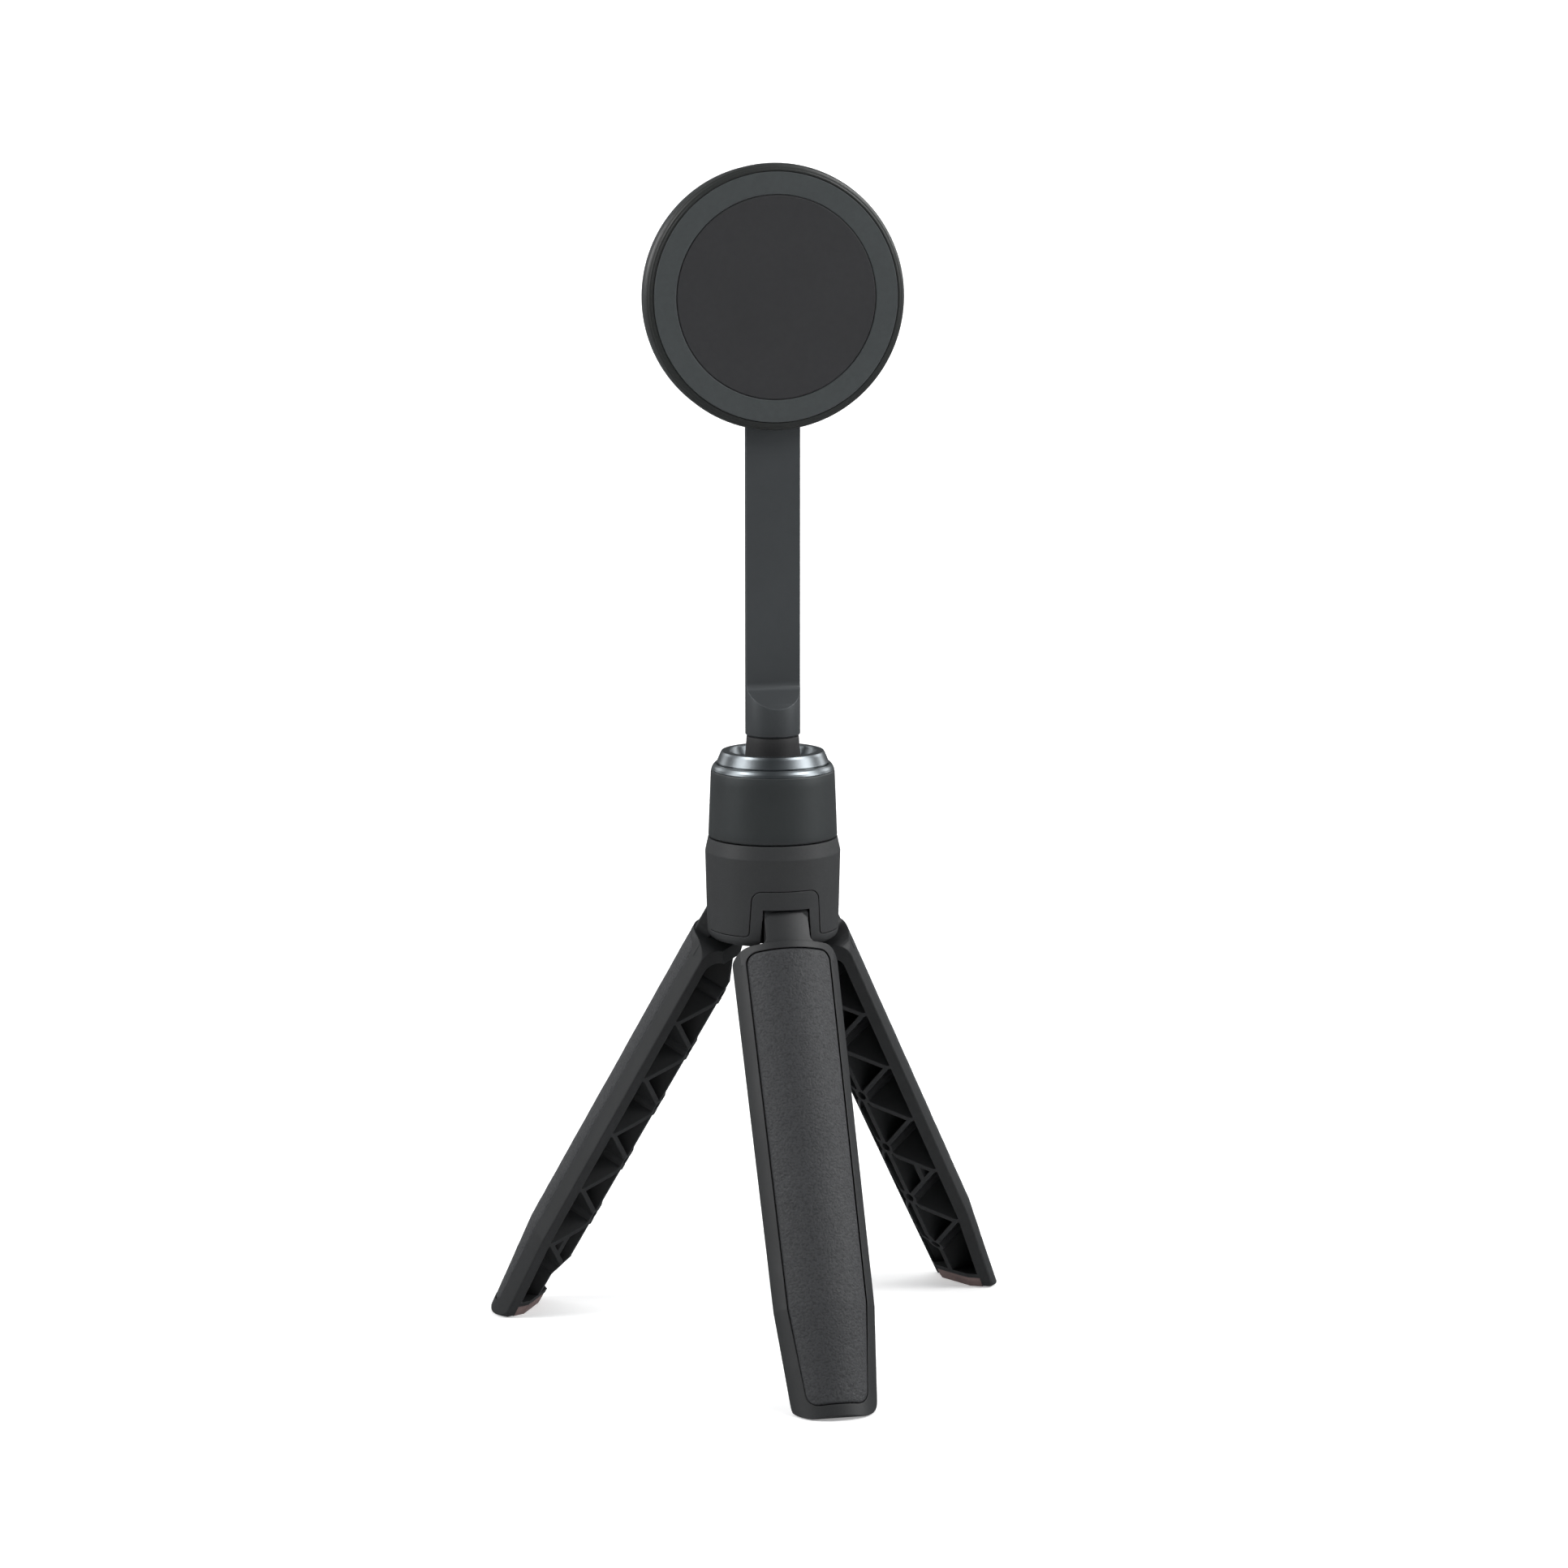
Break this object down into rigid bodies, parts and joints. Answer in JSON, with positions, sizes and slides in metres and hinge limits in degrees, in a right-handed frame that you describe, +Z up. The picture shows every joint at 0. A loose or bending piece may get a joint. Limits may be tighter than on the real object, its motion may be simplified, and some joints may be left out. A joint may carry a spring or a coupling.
{
  "type": "magnetic phone tripod",
  "caption": "Folding table tripod with three leather-faced wedge legs, a lockable ball head, a swivelling flat-faced arm and a round magnetic phone holder that tilts.",
  "frame": {"origin": "on the ground under the middle of the open feet's bounding box; the column's axis stands 15.1 mm behind it at Y = +15.1 mm", "axes": "+Z up along the column; the front leg and the phone holder's face point to -Y; +X to the right seen from the front"},
  "size_m": [0.1262, 0.1118, 0.275],
  "materials": {
    "hub_plastic": "fine moulded texture, matte",
    "frame_plastic": "fine moulded texture, matte",
    "leg_plastic": "fine moulded texture, matte",
    "leather": "pebbled dark leather, slightly worn",
    "rubber": "soft matte rubber",
    "anodised": "satin dark anodised",
    "trim_metal": "polished dark metal",
    "arm_metal": "satin dark anodised",
    "neck_plastic": "matte",
    "head_plastic": "matte soft-touch",
    "bezel_plastic": "matte",
    "ring_gray": "fine satin texture",
    "disc_dark": "soft matte",
    "steel": "turned steel",
    "inner_aluminium": "machined",
    "nylon": "natural nylon",
    "magnet": "nickel plated"
  },
  "bodies": {
    "root": {"hub_shell": "hub_plastic", "hub_frame": "frame_plastic", "bottom_cover": "frame_plastic", "hub_screw": "steel", "hinge_pins": "steel", "socket_body": "inner_aluminium", "seat_ring": "bezel_plastic", "cup_spring": "steel"},
    "lock_ring": {"clamp_barrel": "anodised", "trim_ring": "trim_metal"},
    "ball_cup": {"ball_cup": "nylon"},
    "ball": {"ball_stud": "neck_plastic", "swivel_clip": "steel", "swivel_washer": "bezel_plastic"},
    "arm": {"arm_bar": "arm_metal", "pivot_washers": "bezel_plastic"},
    "holder": {"back_housing": "head_plastic", "front_bezel": "bezel_plastic", "ring_cover": "ring_gray", "front_disc": "disc_dark", "magnet_ring": "magnet", "shield_plate": "steel", "hinge_bracket": "steel", "bracket_screws": "steel", "head_pin": "steel"},
    "front_leg": {"front_leg_frame": "leg_plastic", "front_leg_pad": "leather", "front_leg_foot": "rubber"},
    "right_leg": {"right_leg_frame": "leg_plastic", "right_leg_pad": "leather", "right_leg_foot": "rubber"},
    "left_leg": {"left_leg_frame": "leg_plastic", "left_leg_pad": "leather", "left_leg_foot": "rubber"}
  },
  "joints": [
    {"name": "lock_twist", "type": "hinge", "parent": "root", "child": "lock_ring", "pos_m": [0, 0.0151, 0.12698], "axis": [0, 0, 1], "range_deg": [0, 60]},
    {"name": "ball_pan", "type": "hinge", "parent": "root", "child": "ball_cup", "pos_m": [0, 0.0151, 0.13028], "axis": [0, 0, 1], "continuous": true},
    {"name": "ball_tilt", "type": "hinge", "parent": "ball_cup", "child": "ball", "pos_m": [0, 0.0151, 0.13028], "axis": [1, 0, 0], "range_deg": [-17, 17]},
    {"name": "arm_swivel", "type": "hinge", "parent": "ball", "child": "arm", "pos_m": [0, 0.0151, 0.14358], "axis": [0, 0, 1], "continuous": true},
    {"name": "holder_tilt", "type": "hinge", "parent": "arm", "child": "holder", "pos_m": [0, 0.017, 0.24468], "axis": [-1, 0, 0], "range_deg": [0, 90]},
    {"name": "front_leg_fold", "type": "hinge", "parent": "root", "child": "front_leg", "pos_m": [0, 0.0035, 0.10298], "axis": [1, 0, 0], "range_deg": [0, 30]},
    {"name": "right_leg_fold", "type": "hinge", "parent": "root", "child": "right_leg", "pos_m": [0.01005, 0.0209, 0.10298], "axis": [-0.5, 0.866, 0], "range_deg": [0, 30]},
    {"name": "left_leg_fold", "type": "hinge", "parent": "root", "child": "left_leg", "pos_m": [-0.01005, 0.0209, 0.10298], "axis": [-0.5, -0.866, 0], "range_deg": [0, 30]}
  ]
}
